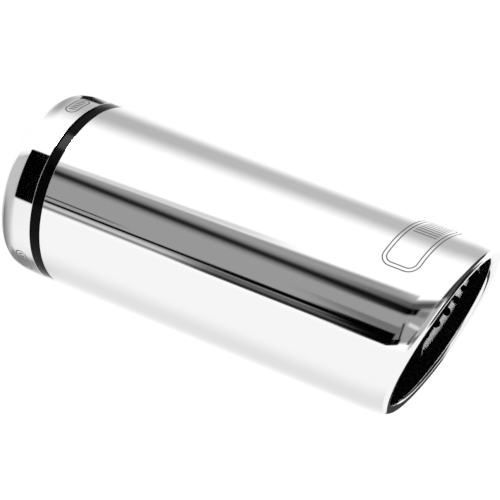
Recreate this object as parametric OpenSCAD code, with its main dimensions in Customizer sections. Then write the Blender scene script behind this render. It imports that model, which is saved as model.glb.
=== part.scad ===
// Exhaust tip: a slash-cut outer shell with a rolled lip, a perforated core,
// a spun rear collar with a black ring in its groove, and a socket for the tail pipe.
// Z runs along the tube, from the rear face at z = 0 to the mouth.
// The long side of the mouth, which is the top side on a car, faces -Y.

/* [Outer shell] */
// Outside diameter of the shell
shell_d = 90; // [76:1:120]
// Sheet thickness of the shell
shell_wall = 1.2; // [0.8:0.1:1.6]
// Height of the middle of the mouth above the rear face
mouth_height = 218; // [150:1:300]
// Slant of the mouth against a square cut
slash_angle = 18.8; // [0:0.2:30]

/* [Rolled lip] */
// Radius of the rolled edge at its outer skin
lip_r = 2.8; // [2.4:0.1:4]
// Radius of the gentle curve that leads into the rolled edge
crown_r = 60; // [30:1:90]
// Turn of the gentle curve, in degrees
crown_turn = 10; // [4:1:16]
// Length of the flange that the lip turns back into the tube
flange_len = 7; // [4:0.5:12]

/* [Rear collar] */
// Step from the shell's side out to the collar's front edge
collar_step = 0.4; // [0.1:0.1:1.5]
// Length of the collar's bright band
collar_len = 18.6; // [15:0.2:30]
// Taper of the bright band towards the rear, in degrees
collar_taper = 1.5; // [0:0.5:4]
// Height at which the band's side runs into its wide shoulder
shoulder_height = 9.2; // [7:0.1:11]
// Radius of the wide shoulder
shoulder_r = 36; // [25:1:60]
// Radius of the collar's rounded rear edge
collar_corner_r = 3.2; // [2.2:0.1:5]
// Sheet thickness of the collar
collar_wall = 1.5; // [1:0.1:2]
// Length of the spigot that reaches into the shell
spigot_len = 9; // [5:0.5:15]

/* [Groove ring] */
// Width of the black ring between the collar and the shell
ring_w = 5.6; // [3:0.1:8]
// Depth of the ring's face below the shell
ring_depth = 0.5; // [0.2:0.1:1]
// Radius of the ring's outer edges
ring_edge_r = 0.2; // [0.1:0.05:0.2]

/* [Inlet socket] */
// Room between the socket and the perforated core
inlet_room = 8.08; // [3:0.02:12]
// Wall of the socket
inlet_wall = 1.5; // [1:0.1:2.5]
// Length of the socket
inlet_len = 50; // [30:1:80]

/* [Perforated core] */
// Sheet thickness of the core
core_wall = 1; // [0.8:0.1:1.5]
// Distance of the core's front edge below the lip's crest
core_recess = 4.5; // [4:0.5:8]
// Diameter of the holes
hole_d = 4.4; // [3:0.1:4.6]
// Number of columns of holes round the core
hole_columns = 36; // [24:2:40]
// Distance from hole to hole along a column
hole_pitch = 7.4; // [6:0.1:10]
// Number of holes in a column
hole_rows = 6; // [2:1:12]
// Steps along a column that the pattern climbs in one turn round the core
hole_climb = 15; // [11:1:19]
// Least distance of a hole's centre below the lip's crest
hole_margin = 8; // [7.5:0.1:20]

/* [Hidden] */
slide_fit = 0.1;       // room between sheets that slide into each other
shell_sides = 108;     // sides of the shell's round
crown_steps = 3;
roll_steps = 10;
hole_sides = 8;
hole_turn = 1;         // turn of the first column from the +X side
grid_drop = 6;         // distance of that column's grid below the lip's crest
round_fn = 96;
steel = [0.80, 0.81, 0.82];

shell_r = shell_d / 2;
shell_start = collar_len + ring_w;
slope = tan(slash_angle);

// The lip's section, as [radius, height below the crest].
// A gentle arc leads into a tight roll, and the roll ends in a flange inside the tube.
roll_r = shell_r - crown_r + (crown_r - lip_r) * cos(crown_turn);
crown_start = -lip_r - (crown_r - lip_r) * sin(crown_turn);
flange_r = roll_r - lip_r;

// One skin of the lip, a sheet thickness of inset inside the outer skin
function lip_skin(inset) = concat(
    [for (i = [0:crown_steps]) let (a = crown_turn * i / crown_steps)
        [shell_r - crown_r + (crown_r - inset) * cos(a), crown_start + (crown_r - inset) * sin(a)]],
    [for (i = [1:roll_steps]) let (a = crown_turn + (180 - crown_turn) * i / roll_steps)
        [roll_r + (lip_r - inset) * cos(a), -lip_r + (lip_r - inset) * sin(a)]],
    [[flange_r + inset, -lip_r - flange_len]]
);

function reversed(list) = [for (i = [len(list) - 1:-1:0]) list[i]];

// A point of the lip's section at one angle round the tube, on the slanted mouth
function slanted(p, a) = [p[0] * cos(a), p[0] * sin(a), mouth_height + p[1] - slope * p[0] * sin(a)];

// A point of the square rear edge
function squared(r, a) = [r * cos(a), r * sin(a), shell_start];

// The closed loop of points round the sheet at one angle
function shell_section(a) = concat(
    [squared(shell_r, a)],
    [for (p = lip_skin(0)) slanted(p, a)],
    [for (p = reversed(lip_skin(shell_wall))) slanted(p, a)],
    [squared(shell_r - shell_wall, a)]
);

module outer_shell() {
    loop = len(shell_section(0));
    points = [for (i = [0:shell_sides - 1]) each shell_section(i * 360 / shell_sides)];
    faces = [
        for (i = [0:shell_sides - 1], j = [0:loop - 1])
            let (n = (i + 1) % shell_sides, k = (j + 1) % loop)
                [i * loop + j, i * loop + k, n * loop + k, n * loop + j]
    ];
    color(steel) polyhedron(points, faces, convexity = 6);
}

collar_r = shell_r + collar_step;
spigot_r = shell_r - shell_wall - slide_fit;
core_inner_r = flange_r + shell_wall + slide_fit;   // the core sits round the lip's flange
core_r = core_inner_r + core_wall;
socket_r = core_inner_r - inlet_room;
inlet_r = socket_r - inlet_wall;

// The collar's outer skin: a tapered side, a wide round shoulder and a tight rear corner,
// each tangent to the next. Both skins of the sheet share the centres of the arcs.
function side_r(z) = collar_r - (collar_len - z) * tan(collar_taper);
function on_arc(centre, r, turn) = centre + r * [cos(turn), -sin(turn)];
shoulder_centre = on_arc([side_r(shoulder_height), shoulder_height], -shoulder_r, collar_taper);
corner_centre = [
    shoulder_centre[0] + sqrt(pow(shoulder_r - collar_corner_r, 2)
                              - pow(shoulder_centre[1] - collar_corner_r, 2)),
    collar_corner_r
];
shoulder_end = asin((shoulder_centre[1] - collar_corner_r) / (shoulder_r - collar_corner_r));

// The slice of a disc between two turns from the +X side
module slice(centre, r, from, to) {
    intersection() {
        translate(centre) circle(r, $fn = round_fn);
        polygon([centre, on_arc(centre, 2 * r, from), on_arc(centre, 2 * r, to)]);
    }
}

// Half of the collar's section inside one skin, which lies an inset inside the outer one
module cup_half(inset) {
    slice(shoulder_centre, shoulder_r - inset, collar_taper, shoulder_end);
    translate(corner_centre) circle(collar_corner_r - inset, $fn = round_fn);
    polygon([
        [0, inset], [corner_centre[0], inset], corner_centre,
        on_arc(shoulder_centre, shoulder_r - inset, shoulder_end),
        on_arc(shoulder_centre, shoulder_r - inset, collar_taper),
        [side_r(collar_len + inset) - inset / cos(collar_taper), collar_len + inset],
        [0, collar_len + inset]
    ]);
}

module rear_collar() {
    color(steel) rotate_extrude($fn = round_fn) {
        difference() {
            cup_half(0);
            cup_half(collar_wall);
            square([socket_r, collar_len]);
        }
        // the step from the bright band down to the spigot
        translate([spigot_r - collar_wall, collar_len - collar_wall])
            square([collar_r - collar_wall / 2 - spigot_r + collar_wall, collar_wall]);
        translate([spigot_r - collar_wall, collar_len - collar_wall / 2])
            square([collar_wall, collar_wall / 2 + ring_w + spigot_len]);
    }
}

module groove_ring() {
    ring_r = shell_r - ring_depth;
    color([0.03, 0.03, 0.03]) rotate_extrude($fn = round_fn) {
        translate([spigot_r, collar_len]) square([ring_r - ring_edge_r - spigot_r, ring_w]);
        translate([spigot_r, collar_len + ring_edge_r])
            square([ring_r - spigot_r, ring_w - 2 * ring_edge_r]);
        for (z = [ring_edge_r, ring_w - ring_edge_r])
            translate([ring_r - ring_edge_r, collar_len + z]) circle(ring_edge_r, $fn = 24);
    }
}

module inlet_socket() {
    color(steel) rotate_extrude($fn = round_fn)
        translate([inlet_r, 0]) square([inlet_wall, inlet_len]);
}

// The core stands on the collar's floor, clear of the round corner inside it
inner_corner_r = collar_corner_r - collar_wall;
past_floor = max(0, core_r - corner_centre[0]);
core_foot = collar_wall + slide_fit + inner_corner_r - sqrt(pow(inner_corner_r, 2) - pow(past_floor, 2));

core_top = mouth_height - core_recess;
core_height = core_top + slope * core_r - core_foot;
hole_grid_z = mouth_height - grid_drop;

// Each column of holes stands a little higher than the one before, and the pattern closes
// after a whole number of steps. A column starts at its first hole that clears the slanted mouth.
module core_holes() {
    turn = 360 / hole_columns;
    climb = hole_pitch * hole_climb / hole_columns;
    for (c = [0:hole_columns - 1]) {
        a = hole_turn + c * turn;
        highest = mouth_height - hole_margin - slope * core_r * sin(a);
        start = hole_grid_z + c * climb;
        first = start + floor((highest - start) / hole_pitch) * hole_pitch;
        for (n = [0:hole_rows - 1])
            translate([0, 0, first - n * hole_pitch]) rotate([0, 90, a])
                translate([0, 0, core_inner_r - core_wall])
                    cylinder(d = hole_d, h = 3 * core_wall, $fn = hole_sides);
    }
}

module perforated_core() {
    color([0.55, 0.56, 0.57]) difference() {
        translate([0, 0, core_foot])
            cylinder(r = core_r, h = core_height, $fn = round_fn);
        translate([0, 0, core_foot - core_wall])
            cylinder(r = core_inner_r, h = core_height + 2 * core_wall, $fn = round_fn);
        translate([0, 0, core_top]) rotate([-slash_angle, 0, 0])
            translate([-shell_d, -shell_d, 0]) cube([2 * shell_d, 2 * shell_d, shell_d]);
        core_holes();
    }
}

outer_shell();
rear_collar();
groove_ring();
inlet_socket();
perforated_core();
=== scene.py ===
from math import asin, cos, degrees, pi, radians, sin, tan

import bpy
from mathutils import Euler, Matrix, Vector


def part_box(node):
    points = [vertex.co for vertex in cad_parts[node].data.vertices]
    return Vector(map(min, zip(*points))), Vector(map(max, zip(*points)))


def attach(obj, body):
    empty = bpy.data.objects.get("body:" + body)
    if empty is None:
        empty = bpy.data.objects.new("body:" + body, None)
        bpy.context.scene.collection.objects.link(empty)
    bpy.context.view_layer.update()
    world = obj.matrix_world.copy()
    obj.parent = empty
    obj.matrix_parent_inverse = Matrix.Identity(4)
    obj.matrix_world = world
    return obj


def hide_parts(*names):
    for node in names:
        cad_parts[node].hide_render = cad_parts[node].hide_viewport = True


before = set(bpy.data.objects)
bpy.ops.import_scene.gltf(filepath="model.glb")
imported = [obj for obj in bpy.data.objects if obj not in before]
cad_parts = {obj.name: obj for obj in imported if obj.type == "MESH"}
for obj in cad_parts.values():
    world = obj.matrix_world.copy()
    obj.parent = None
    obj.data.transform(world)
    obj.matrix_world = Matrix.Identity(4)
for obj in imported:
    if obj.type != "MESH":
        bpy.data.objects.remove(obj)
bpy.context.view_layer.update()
mm = 0.001

# The tube stands on its rear end. The photo was taken with the tube lying down,
# so the camera is rolled about its own line of sight.
camera = {
    "place": (0.8293, -0.7873, 0.6881),      # in metres
    "bearing": 46.645,       # degrees from -Y towards +X
    "height": 26.752,        # degrees above level
    "roll": 111.404,
    "lens": 197.73,          # mm, as is the sensor
    "sensor": 36.0,
    "reach": 50.0,           # the furthest that it sees, in metres
}


def makeCamera(c):
    lens = bpy.data.cameras.new("camera")
    lens.lens = c["lens"]
    lens.sensor_width = c["sensor"]
    lens.clip_end = c["reach"]
    seat = bpy.data.objects.new("camera", lens)
    upright = Euler((radians(90 - c["height"]), 0, radians(c["bearing"]))).to_matrix()
    seat.matrix_world = (upright @ Matrix.Rotation(radians(c["roll"]), 3, "Z")).to_4x4()
    seat.location = c["place"]
    bpy.context.scene.collection.objects.link(seat)
    bpy.context.scene.camera = seat


makeCamera(camera)
bpy.context.scene.view_settings.view_transform = "Standard"
print("camera placed")


# Shader maths: an expression on wrapped sockets adds its own nodes

class Value:
    def __init__(self, tree, socket):
        self.tree = tree
        self.socket = socket

    def math(self, operation, *others):
        node = self.tree.make("ShaderNodeMath", {"operation": operation})
        for place, item in enumerate((self,) + others):
            self.tree.join(item, node.inputs[place])
        return Value(self.tree, node.outputs[0])

    def swapped(self, operation, first):
        node = self.tree.make("ShaderNodeMath", {"operation": operation})
        self.tree.join(first, node.inputs[0])
        self.tree.join(self, node.inputs[1])
        return Value(self.tree, node.outputs[0])

    def __add__(self, other):
        return self.math("ADD", other)

    def __radd__(self, other):
        return self.swapped("ADD", other)

    def __sub__(self, other):
        return self.math("SUBTRACT", other)

    def __rsub__(self, other):
        return self.swapped("SUBTRACT", other)

    def __mul__(self, other):
        return self.math("MULTIPLY", other)

    def __rmul__(self, other):
        return self.swapped("MULTIPLY", other)

    def __neg__(self):
        return self.swapped("SUBTRACT", 0.0)

    def __abs__(self):
        return self.math("ABSOLUTE")


class Tree:
    def __init__(self, tree):
        self.tree = tree
        tree.nodes.clear()

    def make(self, kind, settings=None, inputs=None):
        node = self.tree.nodes.new(kind)
        for name, setting in (settings or {}).items():
            setattr(node, name, setting)
        for name, item in (inputs or {}).items():
            self.join(item, node.inputs[name])
        return node

    def join(self, item, socket):
        if isinstance(item, Value):
            self.tree.links.new(item.socket, socket)
        elif isinstance(item, bpy.types.NodeSocket):
            self.tree.links.new(item, socket)
        else:
            socket.default_value = item

    def value(self, kind, settings=None, inputs=None):
        return Value(self, self.make(kind, settings, inputs).outputs[0])

    # 0 below the first edge, 1 above the second, smooth between
    def rise(self, item, low, high):
        settings = {"interpolation_type": "SMOOTHSTEP", "clamp": True}
        inputs = {"Value": item, "From Min": low, "From Max": high}
        return self.value("ShaderNodeMapRange", settings, inputs)

    # 1 within half a width of zero, 0 beyond it, with a soft edge
    def within(self, item, half, soft):
        return 1 - self.rise(abs(item), half - soft / 2, half + soft / 2)

    def blend(self, mask, first, second):
        return first + mask * (second - first)

    def strongest(self, masks):
        most = masks[0]
        for mask in masks[1:]:
            most = most.math("MAXIMUM", mask)
        return most

    # A turn in degrees, brought to between -180 and 180
    def wrapped(self, turn):
        return self.value("ShaderNodeMath", {"operation": "WRAP"}, {0: turn, 1: 180.0, 2: -180.0})

    def parts(self, vector):
        node = self.make("ShaderNodeSeparateXYZ", inputs={"Vector": vector})
        return [Value(self, node.outputs[axis]) for axis in "XYZ"]


# The studio. Bright all round, with dark cards that only reflections see.
# A card's bearing is measured from the camera's, and its height from level, both in degrees.
# Its sides may lean, by degrees of bearing for each degree of height, and its other
# edges may tilt, by degrees of height for each degree of bearing. A later card lies over an
# earlier one.
studio = {
    "white": 1.12,           # level of the bright studio in reflections
    "plain": 2.0,            # what diffuse surfaces are lit by
    "cards": {
        # name: (bearing, half width, lean, soft edge, height, half height, tilt, soft edge, level)
        # seen in the tube's side, and in the gentle curve that leads into the lip
        "side_wall": (112, 74, 0, 12, 0, 95, 0, 4, 0.87),
        "far_shade": (-116, 20, 0, 30, -16, 18, 0, 6, 0.47),
        "edge_shade": (128, 22, 0, 36, -20, 14, 0, 6, 0.72),
        "left_gap": (-17, 7, -1.2, 5, -27, 5, 0, 3, 0.27),
        "middle": (8, 29, -0.3, 5, -31.5, 28.5, 0, 2, 0.30),
        "veil": (-24.5, 2.6, -1.6, 3, -29, 3, 0, 2, 0.62),
        "left_dark": (-18.7, 4.2, -0.35, 6, -13, 11, 0, 4, 0.07),
        "left_grey": (-8, 4, 0, 5, -8, 4.5, 0, 3, 0.17),
        "left_shade": (-9.2, 5.2, 0, 9, -28, 5, 0, 2, 0.10),
        "left_flag": (-9.4, 2.6, 0, 5, -28, 5, 0, 2, 0.012),
        "left_patch": (-8.8, 4.7, -0.15, 4.5, -19, 5.3, 0, 3.6, 0.0),
        "wedge": (8.5, 2.2, 0.35, 4, -9.5, 6, 0, 4, 0.66),
        "top_bar": (22, 9.5, 0, 2, -5, 1.5, -0.12, 1.5, 0.05),
        "top_bar_left": (-5, 5, 0, 4, -3.8, 0.8, 0, 1, 0.06),
        "streak": (19, 12.5, 0, 3, -17, 1.0, 0.19, 1.4, 0.02),
        "right_grey": (21, 9, 0, 3, -20.8, 3, 0.1, 2, 0.15),
        "right_light": (31.2, 1.8, 0, 2, -30, 3, 0, 1, 0.52),
        "right_band": (34.8, 1.1, 0, 2.4, -30, 3, 0, 1.2, 0.19),
        "right_dim": (32.4, 4.2, -0.2, 2, -25, 2.7, 0, 1.6, 0.10),
        "right_shade": (34.7, 1.7, -0.2, 2.5, -25, 2.6, 0, 1.6, 0.015),
        "right_block": (31.8, 4.0, -0.4, 1.5, -19, 5, 0, 1.5, 0.0),
        "right_wedge": (25.6, 4.8, 0, 2, -22.6, 1.9, 0, 1.4, 0.0),
        "right_flag": (26.4, 1.3, -0.37, 0.9, -28.6, 4.4, 0, 0.8, 0.0),
        "flag_head": (25.3, 2.2, -0.37, 1.6, -25.4, 2.0, 0, 2.4, 0.0),
        "thin_line": (21.4, 0.8, 0, 1.0, -31, 1.5, 0, 1.0, 0.03),
        # seen in the collar, whose side and shoulder lean towards the floor
        "low_left": (-125, 36, 0, 40, -41, 8, 0, 17, 0.34),
        "low_left_line": (-149, 13, 0, 6, -33.0, 1.6, 0, 0.8, 0.01),
        "floor_right": (78, 97, 0, 24, -64.5, 27, 0, 11, 0.50),
        "floor_band": (115, 62, 0, 50, -47, 5, 0.12, 15, 0.13),
        "low_right": (141, 20, 0, 16, -34.8, 3.6, 0, 2.4, 0.24),
        "low_card": (5.5, 32, 0, 1.5, -35.8, 2.6, 0, 0.8, 0.0),
        # seen in the rolled lip
        "horizon": (-79, 50, 0, 12, 10, 13.5, 0, 3, 0.03),
        "left_high": (-78, 48, 0, 14, 50, 30, 0, 12, 0.06),
        "roll_grey": (4, 34, 0, 6, 27, 31, 0, 6, 0.42),
        "roll_left": (-24, 6, 0, 4, 10, 13.5, 0, 3, 0.10),
        "roll_right": (25, 4.5, 0, 5, 10, 13.5, 0, 3, 0.14),
    },
}


def makeWorld(s):
    world = bpy.data.worlds.new("studio")
    world.use_nodes = True
    bpy.context.scene.world = world
    tree = Tree(world.node_tree)
    towards = tree.make("ShaderNodeTexCoord").outputs["Generated"]
    x, y, z = tree.parts(towards)
    turn = radians(camera["bearing"])
    ahead = x * sin(turn) - y * cos(turn)
    aside = x * cos(turn) + y * sin(turn)
    bearing = aside.math("ARCTAN2", ahead) * degrees(1)
    height = z.math("ARCSINE") * degrees(1)
    level = 1.0
    for card in s["cards"].values():
        centre, half, lean, soft, middle, halfHeight, tilt, softHeight, dark = card
        off = tree.wrapped(bearing - centre)
        up = height - middle
        sides = tree.within(off - up * lean if lean else off, half, soft)
        ends = tree.within(up - off * tilt if tilt else up, halfHeight, softHeight)
        level = tree.blend(sides * ends, level, dark)
    level = level * s["white"]
    path = tree.make("ShaderNodeLightPath")
    glossy = Value(tree, path.outputs["Is Glossy Ray"])
    seen = Value(tree, path.outputs["Is Camera Ray"])
    lit = tree.blend(glossy, s["plain"], level)
    shown = tree.blend(seen, lit, 1.0)
    back = tree.make("ShaderNodeBackground", inputs={"Color": (1, 1, 1, 1), "Strength": shown})
    out = tree.make("ShaderNodeOutputWorld")
    tree.join(back.outputs[0], out.inputs["Surface"])


makeWorld(studio)


# The floor: white to the camera, and out of the way of reflections
floorSet = {
    "size": 6.0,             # in metres
    "white": 0.93,           # share of the floor that doesn't take the shadow
    "paint": 0.86,
}


def makeFloor(f):
    bpy.ops.mesh.primitive_plane_add(size=f["size"])
    floor = bpy.context.object
    floor.name = "floor"
    paint = bpy.data.materials.new("floor_paper")
    paint.use_nodes = True
    tree = Tree(paint.node_tree)
    path = tree.make("ShaderNodeLightPath")
    matt = tree.make("ShaderNodeBsdfDiffuse", inputs={"Color": (f["paint"],) * 3 + (1,)})
    glow = tree.make("ShaderNodeEmission", inputs={"Strength": 1.0})
    clear = tree.make("ShaderNodeBsdfTransparent")
    share = Value(tree, path.outputs["Is Camera Ray"]) * f["white"]
    lit = tree.make("ShaderNodeMixShader", inputs={"Fac": share})
    tree.join(matt.outputs[0], lit.inputs[1])
    tree.join(glow.outputs[0], lit.inputs[2])
    shown = tree.make("ShaderNodeMixShader")
    tree.join(path.outputs["Is Glossy Ray"], shown.inputs["Fac"])
    tree.join(lit.outputs[0], shown.inputs[1])
    tree.join(clear.outputs[0], shown.inputs[2])
    out = tree.make("ShaderNodeOutputMaterial")
    tree.join(shown.outputs[0], out.inputs["Surface"])
    floor.data.materials.append(paint)


makeFloor(floorSet)


# Small cards near the tip, which only reflections see. A place is (aside, behind, height)
# as the camera sees it, and a size is (width, length), all in metres.
nearCards = {
    # name: (place, size, upright, soft edge as a share of the size, level)
    "card_behind": ((0.036, 0.052, 0.222), (0.054, 0.064), True, 0.12, 0.05),
    "card_above": ((-0.020, 0.000, 0.262), (0.070, 0.090), False, 0.10, 0.01),
    "card_beside_ring": ((-0.071, -0.078, -0.014), (0.054, 0.060), True, 0.05, 13.0),
}


def makeNearCard(name, place, size, upright, soft, level):
    turn = radians(camera["bearing"])
    spot = Matrix.Rotation(turn, 3, "Z") @ Vector(place)
    stand = pi / 2 if upright else 0
    bpy.ops.mesh.primitive_plane_add(size=1, location=spot, rotation=(stand, 0, turn))
    card = bpy.context.object
    card.name = name
    card.scale = (size[0], size[1], 1)
    paint = bpy.data.materials.new(name + "_paint")
    paint.use_nodes = True
    tree = Tree(paint.node_tree)
    x, y, z = tree.parts(tree.make("ShaderNodeTexCoord").outputs["Object"])
    edge = 0.5       # of a plane of size 1, from its middle
    inside = 1 - tree.rise(abs(x).math("MAXIMUM", abs(y)), edge - soft, edge)
    path = tree.make("ShaderNodeLightPath")
    shown = inside * Value(tree, path.outputs["Is Glossy Ray"])
    clear = tree.make("ShaderNodeBsdfTransparent")
    glow = tree.make("ShaderNodeEmission", inputs={"Strength": level})
    mix = tree.make("ShaderNodeMixShader", inputs={"Fac": shown})
    tree.join(clear.outputs[0], mix.inputs[1])
    tree.join(glow.outputs[0], mix.inputs[2])
    out = tree.make("ShaderNodeOutputMaterial")
    tree.join(mix.outputs[0], out.inputs["Surface"])
    card.data.materials.append(paint)


for name, card in nearCards.items():
    makeNearCard(name, *card)
print("studio set")


# Modelling helpers
meshing = {
    "smoothBelow": 40,       # edges that turn less than this, in degrees, are shaded smooth
    "bevelAbove": 60,        # and edges that turn more than this are bevelled
    "seam": 0.002 * mm,      # points closer than this are merged
    "sheetSeam": 0.05 * mm,  # and in the flat sheet of the core
}


def startPiece():
    if bpy.context.object and bpy.context.object.mode != "OBJECT":
        bpy.ops.object.mode_set(mode="OBJECT")
    bpy.ops.object.select_all(action="DESELECT")


def startRing(name, sides, radius, height):
    startPiece()
    bpy.ops.mesh.primitive_circle_add(vertices=sides, radius=radius, location=(0, 0, height))
    piece = bpy.context.object
    piece.name = name
    bpy.ops.object.transform_apply(location=True, rotation=True, scale=True)
    bpy.ops.object.mode_set(mode="EDIT")
    bpy.ops.mesh.select_all(action="SELECT")
    return piece


def nextRing():
    bpy.ops.mesh.extrude_region_move()


# A turned piece: each ring of (radius, height) is pulled out of the one before
def turnRings(name, sides, rings):
    radius, height = rings[0]
    piece = startRing(name, sides, radius, height)
    for nextRadius, nextHeight in rings[1:]:
        nextRing()
        share = nextRadius / radius
        bpy.ops.transform.resize(value=(share, share, 1), center_override=(0, 0, height))
        bpy.ops.transform.translate(value=(0, 0, nextHeight - height))
        radius, height = nextRadius, nextHeight
    return piece


def shadePiece():
    bpy.ops.object.shade_smooth_by_angle(angle=radians(meshing["smoothBelow"]))


def closePiece():
    bpy.ops.mesh.select_all(action="SELECT")
    bpy.ops.mesh.remove_doubles(threshold=meshing["seam"])
    bpy.ops.mesh.normals_make_consistent(inside=False)
    bpy.ops.object.mode_set(mode="OBJECT")
    shadePiece()


def bevelEdges(piece, sizes):
    bevel = piece.modifiers.new("edges", "BEVEL")
    bevel.width = sizes["edge"]
    bevel.segments = sizes["edgeSteps"]
    bevel.limit_method = "ANGLE"
    bevel.angle_limit = radians(meshing["bevelAbove"])
    bpy.context.view_layer.objects.active = piece
    bpy.ops.object.modifier_apply(modifier=bevel.name)
    shadePiece()


# A plain tube with square ends
def makeTube(name, t):
    rings = [(t["inner"], t["bottom"]), (t["radius"], t["bottom"]), (t["radius"], t["top"]),
             (t["inner"], t["top"]), (t["inner"], t["bottom"])]
    piece = turnRings(name, t["sides"], rings)
    closePiece()
    bevelEdges(piece, t)
    return piece


def finishPiece(piece, node, finish):
    piece.data.materials.clear()
    piece.data.materials.append(finish)
    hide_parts(node)
    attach(piece, "root")
    print(piece.name, len(piece.data.polygons), "faces")


# The outer shell, from the size of its solid
shellLow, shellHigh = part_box("outer_shell")
shell = {
    "radius": shellHigh.x,
    "start": shellLow.z,
    "wall": 1.2 * mm,
    "slash": 18.8,           # degrees, as is crownTurn
    "lipRadius": 2.8 * mm,
    "crownRadius": 60 * mm,
    "crownTurn": 10,
    "flange": 7 * mm,
    "sides": 256,
    "crownSteps": 10,
    "rollSteps": 30,
    "edge": 0.12 * mm,
    "edgeSteps": 2,
}
slope = tan(radians(shell["slash"]))


# One skin of the lip, as (radius, height above the crest). The inner skin is inset by the wall.
def lipSkin(s, inset):
    turn = radians(s["crownTurn"])
    apart = s["crownRadius"] - s["lipRadius"]
    crownCentre = s["radius"] - s["crownRadius"]
    rollCentre = crownCentre + apart * cos(turn)
    crownHeight = -s["lipRadius"] - apart * sin(turn)
    skin = []
    for step in range(s["crownSteps"] + 1):
        angle = turn * step / s["crownSteps"]
        reach = s["crownRadius"] - inset
        skin.append((crownCentre + reach * cos(angle), crownHeight + reach * sin(angle)))
    for step in range(1, s["rollSteps"] + 1):
        angle = turn + (pi - turn) * step / s["rollSteps"]
        reach = s["lipRadius"] - inset
        skin.append((rollCentre + reach * cos(angle), -s["lipRadius"] + reach * sin(angle)))
    skin.append((rollCentre - s["lipRadius"] + inset, -s["lipRadius"] - s["flange"]))
    return skin


outerSkin = lipSkin(shell, 0)
innerSkin = lipSkin(shell, shell["wall"])
crestRise = max(height + slope * radius for radius, height in outerSkin)
mouthHeight = shellHigh.z - crestRise     # height of the middle of the mouth


# A straight tube, cut at the slant and then pulled on, ring by ring, round the lip and back
# down inside
def makeShell(s):
    radius, level = outerSkin[0]
    piece = startRing("outer_tube", s["sides"], s["radius"], s["start"])
    nextRing()
    bpy.ops.transform.translate(value=(0, 0, mouthHeight + slope * s["radius"] - s["start"]))
    bpy.ops.mesh.select_all(action="SELECT")
    start = (0, 0, mouthHeight + level)
    bpy.ops.mesh.bisect(plane_co=start, plane_no=(0, slope, 1), clear_outer=True)
    for nextRadius, nextLevel in outerSkin[1:] + innerSkin[::-1]:
        nextRing()
        share = nextRadius / radius
        bpy.ops.transform.resize(value=(share,) * 3, center_override=(0, 0, mouthHeight + level))
        bpy.ops.transform.translate(value=(0, 0, nextLevel - level))
        radius, level = nextRadius, nextLevel
    nextRing()
    bpy.ops.transform.resize(value=(1, 1, 0), center_override=(0, 0, s["start"]))
    nextRing()
    share = s["radius"] / radius
    bpy.ops.transform.resize(value=(share, share, 1), center_override=(0, 0, s["start"]))
    closePiece()
    bevelEdges(piece, s)
    return piece


# The collar: a tapered band with a wide shoulder and a tight rear corner, a flat floor,
# and a step down to the spigot
collarLow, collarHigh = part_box("rear_collar")
ringLow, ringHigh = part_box("groove_ring")
socketLow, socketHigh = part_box("inlet_socket")
slideFit = 0.1 * mm      # room between sheets that slide into each other
collar = {
    "radius": collarHigh.x,
    "length": ringLow.z,
    "taper": 1.5,            # degrees
    "shoulderHeight": 9.2 * mm,
    "shoulder": 36 * mm,
    "corner": 3.2 * mm,
    "wall": 1.5 * mm,
    "spigotTop": collarHigh.z,
    "spigotRadius": shell["radius"] - shell["wall"] - slideFit,
    "hole": socketHigh.x,    # radius of the hole that the socket fills
    "sides": 256,
    "shoulderSteps": 16,
    "cornerSteps": 16,
    "edge": 0.12 * mm,
    "edgeSteps": 3,
}


# One skin of the collar, as (radius, height), from the flat floor up to the tapered side
def cupSkin(c, inset):
    taper = radians(c["taper"])
    side = c["radius"] - (c["length"] - c["shoulderHeight"]) * tan(taper)
    centre = (side - c["shoulder"] * cos(taper), c["shoulderHeight"] + c["shoulder"] * sin(taper))
    drop = centre[1] - c["corner"]
    reach = c["shoulder"] - c["corner"]
    turn = asin(drop / reach)                # where the shoulder runs into the corner
    inner = (centre[0] + reach * cos(turn), c["corner"])
    skin = []
    for step in range(c["cornerSteps"] + 1):
        angle = pi / 2 + (turn - pi / 2) * step / c["cornerSteps"]
        size = c["corner"] - inset
        skin.append((inner[0] + size * cos(angle), inner[1] - size * sin(angle)))
    for step in range(1, c["shoulderSteps"] + 1):
        angle = turn + (taper - turn) * step / c["shoulderSteps"]
        size = c["shoulder"] - inset
        skin.append((centre[0] + size * cos(angle), centre[1] - size * sin(angle)))
    return skin


def makeCollar(c):
    outside = cupSkin(c, 0)
    inside = cupSkin(c, c["wall"])
    lean = tan(radians(c["taper"]))
    innerTop = c["length"] - c["wall"]
    rings = [(c["hole"], 0)] + outside + [
        (c["radius"], c["length"]),
        (c["spigotRadius"], c["length"]),
        (c["spigotRadius"], c["spigotTop"]),
        (c["spigotRadius"] - c["wall"], c["spigotTop"]),
        (c["spigotRadius"] - c["wall"], innerTop),
        (c["radius"] - c["wall"] - c["wall"] * lean, innerTop),
    ] + inside[::-1] + [(c["hole"], c["wall"]), (c["hole"], 0)]
    piece = turnRings("collar_band", c["sides"], rings)
    closePiece()
    bevelEdges(piece, c)
    return piece


# The black ring in the groove, and the socket that takes the tail pipe
grooveRing = {
    "inner": collar["spigotRadius"],
    "radius": ringHigh.x,
    "bottom": ringLow.z,
    "top": ringHigh.z,
    "sides": 192,
    "edge": 0.2 * mm,
    "edgeSteps": 3,
}
socket = {
    "inner": socketHigh.x - 1.5 * mm,        # less the wall
    "radius": socketHigh.x,
    "bottom": socketLow.z,
    "top": socketHigh.z,
    "sides": 128,
    "edge": 0.3 * mm,
    "edgeSteps": 2,
}


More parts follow.
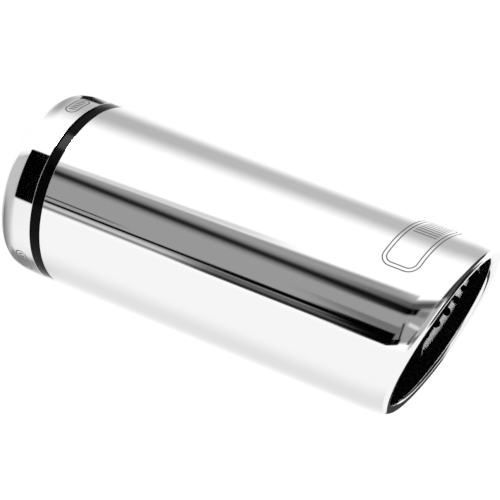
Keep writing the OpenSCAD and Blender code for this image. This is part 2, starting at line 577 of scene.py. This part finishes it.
# The perforated core: one punched cell, repeated into a flat sheet, rolled up and cut at the
# slant. Each column of holes stands a little higher than the one before, so cells are slanted.
coreLow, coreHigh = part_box("perforated_core")
core = {
    "radius": coreHigh.x,
    "wall": 1.0 * mm,
    "bottom": coreLow.z,
    "recess": 4.5 * mm,      # below the lip's crest
    "hole": 4.4 * mm,
    "columns": 36,
    "pitch": 7.4 * mm,
    "climb": 15,             # steps that the pattern climbs in one turn
    "firstTurn": 91,         # bearing, in degrees, of the column that gridHeight is given for
    "gridHeight": mouthHeight - 6 * mm,
    "margin": 8 * mm,        # no hole's centre is nearer to the crest
    "plainFoot": 8 * mm,     # nor to the foot
    "spareRows": 2,          # past either end of the sheet, to be cut off
    "holeSides": 16,
    "holeReach": 0.52,       # share of a hole's size that its points lie within
}


def makeCell(c, width, climb):
    startPiece()
    bpy.ops.mesh.primitive_circle_add(
        vertices=c["holeSides"],
        radius=c["hole"] / 2,
        rotation=(pi / 2, 0, 0),
    )
    piece = bpy.context.object
    piece.name = "punched_core"
    bpy.ops.object.transform_apply(location=True, rotation=True, scale=True)
    bpy.ops.object.mode_set(mode="EDIT")
    bpy.ops.mesh.select_all(action="SELECT")
    nextRing()
    bpy.ops.object.mode_set(mode="OBJECT")
    # the outer ring becomes the cell's border, with two equal steps in half a side
    steps = 2
    for point in [v for v in piece.data.vertices if v.select]:
        reach = max(abs(point.co.x), abs(point.co.z))
        across, up = [round(value / reach * steps) / steps for value in (point.co.x, point.co.z)]
        point.co = (across * width / 2, 0, up * c["pitch"] / 2 + across * climb / 2)
    return piece


def repeatPiece(piece, count, step):
    array = piece.modifiers.new("copies", "ARRAY")
    array.count = count
    array.use_relative_offset = False
    array.use_constant_offset = True
    array.constant_offset_displace = step
    bpy.ops.object.modifier_apply(modifier=array.name)


def mergePoints(gap):
    bpy.ops.object.mode_set(mode="EDIT")
    bpy.ops.mesh.select_all(action="SELECT")
    bpy.ops.mesh.remove_doubles(threshold=gap)
    bpy.ops.object.mode_set(mode="OBJECT")


# Picks the edges of the holes that would fall in the plain sheet at either end
def pickEndHoles(piece, c, width, climb, start):
    for edge in piece.data.edges:
        edge.select = False
    for face in piece.data.polygons:
        face.select = False
    shift = radians(c["firstTurn"] % (360 / c["columns"])) * c["radius"]
    for point in piece.data.vertices:
        column = round((point.co.x - shift) / width)
        place = column * width + shift
        grid = start + column * climb
        centre = grid + round((point.co.z - grid) / c["pitch"]) * c["pitch"]
        off = Vector((point.co.x - place, point.co.z - centre)).length
        onHole = off < c["holeReach"] * c["hole"]
        crest = mouthHeight + slope * c["radius"] * cos(place / c["radius"])
        ended = centre > crest - c["margin"] or centre < c["bottom"] + c["plainFoot"]
        point.select = onHole and ended


# The flat sheet in the XZ plane, with its middle at the side that faces -Y once it is rolled up
def layCoreSheet(c):
    width = 2 * pi * c["radius"] / c["columns"]
    climb = c["pitch"] * c["climb"] / c["columns"]
    half = c["columns"] // 2
    piece = makeCell(c, width, climb)
    firstColumn = c["firstTurn"] // (360 / c["columns"])
    shift = radians(c["firstTurn"]) * c["radius"] - firstColumn * width
    start = c["gridHeight"] - firstColumn * climb       # the grid of the column at the front
    below = int((start + half * climb - c["bottom"]) / c["pitch"]) + c["spareRows"]
    rows = int((coreHigh.z - c["bottom"]) / c["pitch"]) + c["climb"] + 2 * c["spareRows"]
    first = start - half * climb - below * c["pitch"]
    bpy.ops.object.mode_set(mode="EDIT")
    bpy.ops.mesh.select_all(action="SELECT")
    bpy.ops.transform.translate(value=(shift - half * width, 0, first))
    bpy.ops.object.mode_set(mode="OBJECT")
    repeatPiece(piece, rows, (0, 0, c["pitch"]))
    repeatPiece(piece, c["columns"], (width, 0, climb))
    mergePoints(meshing["sheetSeam"])
    pickEndHoles(piece, c, width, climb, start)
    bpy.ops.object.mode_set(mode="EDIT")
    bpy.ops.mesh.fill_holes(sides=c["holeSides"])
    bpy.ops.object.mode_set(mode="OBJECT")
    return piece


def makeCore(c):
    piece = layCoreSheet(c)
    roll = piece.modifiers.new("roll", "SIMPLE_DEFORM")
    roll.deform_method = "BEND"
    roll.deform_axis = "Z"
    roll.angle = 2 * pi
    bpy.ops.object.modifier_apply(modifier=roll.name)
    bpy.ops.object.mode_set(mode="EDIT")
    bpy.ops.mesh.select_all(action="SELECT")
    bpy.ops.transform.translate(value=(0, -c["radius"], 0))
    bpy.ops.mesh.remove_doubles(threshold=meshing["sheetSeam"])
    front = (0, 0, mouthHeight - c["recess"])
    bpy.ops.mesh.bisect(plane_co=front, plane_no=(0, slope, 1), clear_outer=True)
    bpy.ops.mesh.select_all(action="SELECT")
    bpy.ops.mesh.bisect(plane_co=(0, 0, c["bottom"]), plane_no=(0, 0, 1), clear_inner=True)
    bpy.ops.mesh.select_all(action="SELECT")
    bpy.ops.mesh.normals_make_consistent(inside=False)
    bpy.ops.object.mode_set(mode="OBJECT")
    sheet = piece.modifiers.new("sheet", "SOLIDIFY")
    sheet.thickness = c["wall"]
    sheet.offset = -1
    bpy.ops.object.modifier_apply(modifier=sheet.name)
    shadePiece()
    return piece


# Finishes

# Distance outside a bar with round corners, in metres
def barDistance(tree, across, up, halfAcross, halfUp, corner):
    outX = (abs(across) - (halfAcross - corner)).math("MAXIMUM", 0.0)
    outY = (abs(up) - (halfUp - corner)).math("MAXIMUM", 0.0)
    return (outX * outX + outY * outY).math("SQRT") - corner


# Lines etched round a bar, and strokes inside it, from hatchFrom past its middle
def etchedBar(tree, across, up, e):
    distance = barDistance(tree, across, up, e["halfLength"], e["halfWidth"], e["corner"])
    soft = e["line"] * etching["soft"]
    lines = [tree.within(distance + offset, e["line"] / 2, soft) for offset in e["lines"]]
    hatch = ((across + up * e["hatchLean"]) * (2 * pi / e["hatchPitch"])).math("SINE")
    inside = 1 - tree.rise(distance, -e["hatchInset"] - e["line"], -e["hatchInset"])
    ends = tree.rise(-across, e["hatchFrom"], e["hatchFrom"] + e["line"])
    strokes = tree.rise(hatch, *etching["strokeEdge"]) * inside * ends * e["hatchInk"]
    return tree.strongest(lines + [strokes])


def etchedMark(tree, bearing, z, e, radius):
    up = z - e["height"]
    turns = [radians(e["bearing"] + turn) for turn in e["turns"]]
    return tree.strongest([etchedBar(tree, (bearing - turn) * radius, up, e) for turn in turns])


etching = {
    "soft": 0.7,             # share of a line's width over which it fades
    "strokeEdge": (-0.2, 0.4),       # where a stroke starts and is full, on a wave of 1
}
# A mark's length runs round the tube and its width along it. Lines are given by their
# distance inside the outline, and the strokes start an inset inside it.
tubeMark = {
    "bearing": -8,
    "turns": (0,),           # of its copies round the tube
    "height": 202.2 * mm,
    "halfLength": 23.5 * mm,
    "halfWidth": 9.8 * mm,
    "corner": 6 * mm,
    "lines": (0.3 * mm, 2.2 * mm),
    "line": 0.6 * mm,
    "hatchPitch": 2.4 * mm,
    "hatchLean": 0.0,
    "hatchInset": 3.4 * mm,
    "hatchFrom": 1 * mm,
    "hatchInk": 0.8,
}
collarMark = {
    "bearing": -9,
    "turns": (-120, 0, 120),
    "height": 11.2 * mm,
    "halfLength": 7.6 * mm,
    "halfWidth": 3.3 * mm,
    "corner": 3.2 * mm,
    "lines": (0.3 * mm,),
    "line": 0.6 * mm,
    "hatchPitch": 2.0 * mm,
    "hatchLean": 0.4,
    "hatchInset": 1.3 * mm,
    "hatchFrom": -9 * mm,
    "hatchInk": 0.9,
}

# A noise is given as (scale, stretch along each axis, detail)
polish = {
    "colour": (0.935, 0.935, 0.935, 1),
    "etched": (0.13, 0.13, 0.135, 1),
    "roughness": 0.03,
    "etchedRoughness": 0.45,
    "haze": (55, (1, 1, 0.25), 3),
    "hazeRoughness": 0.02,
    "lines": (900, (0.02, 0.02, 1), 2),      # that polishing leaves round the tube
    "lineDepth": 0.0006 * mm,
    "specular": 0.1,
    "shadeMargin": 0.9 * mm,  # less than the wall, so that the painted shade stays off the outside
    "shadeEdge": 0.6 * mm,
}


def objectPlace(tree):
    return tree.make("ShaderNodeTexCoord").outputs["Object"]


# The turn from -Y towards +X, in radians
def bearingOf(x, y):
    return x.math("ARCTAN2", -y)


def depthBelowMouth(y, z):
    return mouthHeight - slope * y - z


# The colour sockets are taken by their place, as a Mix node gives several the same name
def mixColour(tree, mask, first, second):
    mix = tree.make("ShaderNodeMix", {"data_type": "RGBA"})
    tree.join(mask, mix.inputs["Factor"])
    tree.join(first, mix.inputs[6])
    tree.join(second, mix.inputs[7])
    return mix.outputs[2]


def noiseOver(tree, where, scale, stretch, detail):
    placed = tree.make("ShaderNodeMapping", inputs={"Vector": where, "Scale": stretch})
    noise = {"Vector": placed.outputs[0], "Scale": scale, "Detail": detail}
    return tree.value("ShaderNodeTexNoise", inputs=noise)


def newFinish(name):
    finish = bpy.data.materials.new(name)
    finish.use_nodes = True
    return finish, Tree(finish.node_tree)


def giveShader(tree, inputs):
    shader = tree.make("ShaderNodeBsdfPrincipled", inputs=inputs)
    out = tree.make("ShaderNodeOutputMaterial")
    tree.join(shader.outputs[0], out.inputs["Surface"])


def bumpFrom(tree, height, distance):
    inputs = {"Height": height, "Distance": distance, "Strength": 1.0}
    return tree.make("ShaderNodeBump", inputs=inputs).outputs[0]


def polishedSteel(name, mark, radius, shadeAfter=None):
    finish, tree = newFinish(name)
    where = objectPlace(tree)
    x, y, z = tree.parts(where)
    mask = etchedMark(tree, bearingOf(x, y), z, mark, radius)
    haze = noiseOver(tree, where, *polish["haze"])
    lines = noiseOver(tree, where, *polish["lines"])
    roughness = polish["roughness"] + haze * polish["hazeRoughness"]
    roughness = tree.blend(mask, roughness, polish["etchedRoughness"])
    colour = mixColour(tree, mask, polish["colour"], polish["etched"])
    metallic = 1.0
    if shadeAfter:
        # painted shade: the inside of the sheet, past the flange that the lip turns back, is
        # painted black for the shade deep in the tube
        reach = (x * x + y * y).math("SQRT")
        inside = 1 - tree.rise(reach, radius - polish["shadeMargin"], radius)
        depth = depthBelowMouth(y, z)
        painted_shade = inside * tree.rise(depth, shadeAfter, shadeAfter + polish["shadeEdge"])
        colour = mixColour(tree, painted_shade, colour, mill["painted_shade"])
        roughness = tree.blend(painted_shade, roughness, mill["shadeRoughness"])
        metallic = 1 - painted_shade
    inputs = {
        "Base Color": colour,
        "Metallic": metallic,
        "Roughness": roughness,
        "Specular IOR Level": polish["specular"],
        "Normal": bumpFrom(tree, lines, polish["lineDepth"]),
    }
    giveShader(tree, inputs)
    return finish


mill = {
    "colour": (0.95, 0.95, 0.95, 1),
    "dull": (0.84, 0.84, 0.845, 1),
    # painted shade: near-black that stands in for the shade deep inside the tube
    "painted_shade": (0.004, 0.004, 0.004, 1),
    "metallic": 0.1,
    "specular": 0.1,
    "roughness": 0.42,
    "cloud": (90, (1, 1, 1), 4),
    "grain": (700, (1, 1, 0.04), 3),
    "grainRoughness": 0.12,
    "grainDepth": 0.004 * mm,
    "shadeFrom": 13.4 * mm,   # depth below the mouth at which the painted shade starts
    "shadeTo": 14.1 * mm,
    "shadeUneven": 1.6 * mm,
    "shadeRoughness": 0.6,
    "lateShadeBearing": -117,    # middle of the side where the painted shade starts deeper, in degrees, as are the next two
    "lateShadeHalf": 26,
    "lateShadeSoft": 16,
    "lateShadeDepth": 4 * mm,    # how much deeper the painted shade starts there
}


def millSteel(name, shaded):
    finish, tree = newFinish(name)
    where = objectPlace(tree)
    x, y, z = tree.parts(where)
    cloud = noiseOver(tree, where, *mill["cloud"])
    grain = noiseOver(tree, where, *mill["grain"])
    colour = mixColour(tree, cloud, mill["dull"], mill["colour"])
    roughness = mill["roughness"] + grain * mill["grainRoughness"]
    metallic = mill["metallic"]
    # painted shade: past a depth below the mouth the core is painted black for the shade deep
    # inside the tube; it starts deeper on one side and wavers with the cloud
    if shaded:
        off = tree.wrapped(bearingOf(x, y) * degrees(1) - mill["lateShadeBearing"])
        shadier = tree.rise(abs(off), mill["lateShadeHalf"], mill["lateShadeHalf"] + mill["lateShadeSoft"])
        depth = depthBelowMouth(y, z) + shadier * mill["lateShadeDepth"] + cloud * mill["shadeUneven"]
        painted_shade = tree.rise(depth, mill["shadeFrom"], mill["shadeTo"])
        colour = mixColour(tree, painted_shade, colour, mill["painted_shade"])
        roughness = tree.blend(painted_shade, roughness, mill["shadeRoughness"])
        metallic = metallic * (1 - painted_shade)
    inputs = {
        "Base Color": colour,
        "Metallic": metallic,
        "Roughness": roughness,
        "Specular IOR Level": mill["specular"],
        "Normal": bumpFrom(tree, grain, mill["grainDepth"]),
    }
    giveShader(tree, inputs)
    return finish


rubber = {
    "colour": (0.0005, 0.0005, 0.0005, 1),
    "roughness": 0.12,
    "specular": 0.05,
    "sheen": 0.01,
    "sheenRoughness": 0.35,
    "grain": (1200, (1, 1, 1), 3),
    "grainRoughness": 0.06,
    "grainDepth": 0.01 * mm,
}


def blackRubber(name):
    finish, tree = newFinish(name)
    grain = noiseOver(tree, objectPlace(tree), *rubber["grain"])
    inputs = {
        "Base Color": rubber["colour"],
        "Roughness": rubber["roughness"] + grain * rubber["grainRoughness"],
        "Specular IOR Level": rubber["specular"],
        "Sheen Weight": rubber["sheen"],
        "Sheen Roughness": rubber["sheenRoughness"],
        "Normal": bumpFrom(tree, grain, rubber["grainDepth"]),
    }
    giveShader(tree, inputs)
    return finish


flangeEnd = shell["lipRadius"] + shell["flange"]     # its depth below the crest
tubeSteel = polishedSteel("polished_tube_steel", tubeMark, shell["radius"], flangeEnd)
collarSteel = polishedSteel("polished_collar_steel", collarMark, collar["radius"])
pipeSteel = millSteel("mill_steel", False)
coreSteel = millSteel("core_steel_painted_shade", True)
ringRubber = blackRubber("black_rubber")
print("finishes made")

finishPiece(makeShell(shell), "outer_shell", tubeSteel)
finishPiece(makeCollar(collar), "rear_collar", collarSteel)
finishPiece(makeTube("black_ring", grooveRing), "groove_ring", ringRubber)
finishPiece(makeTube("pipe_socket", socket), "inlet_socket", pipeSteel)
finishPiece(makeCore(core), "perforated_core", coreSteel)
print("pieces made")
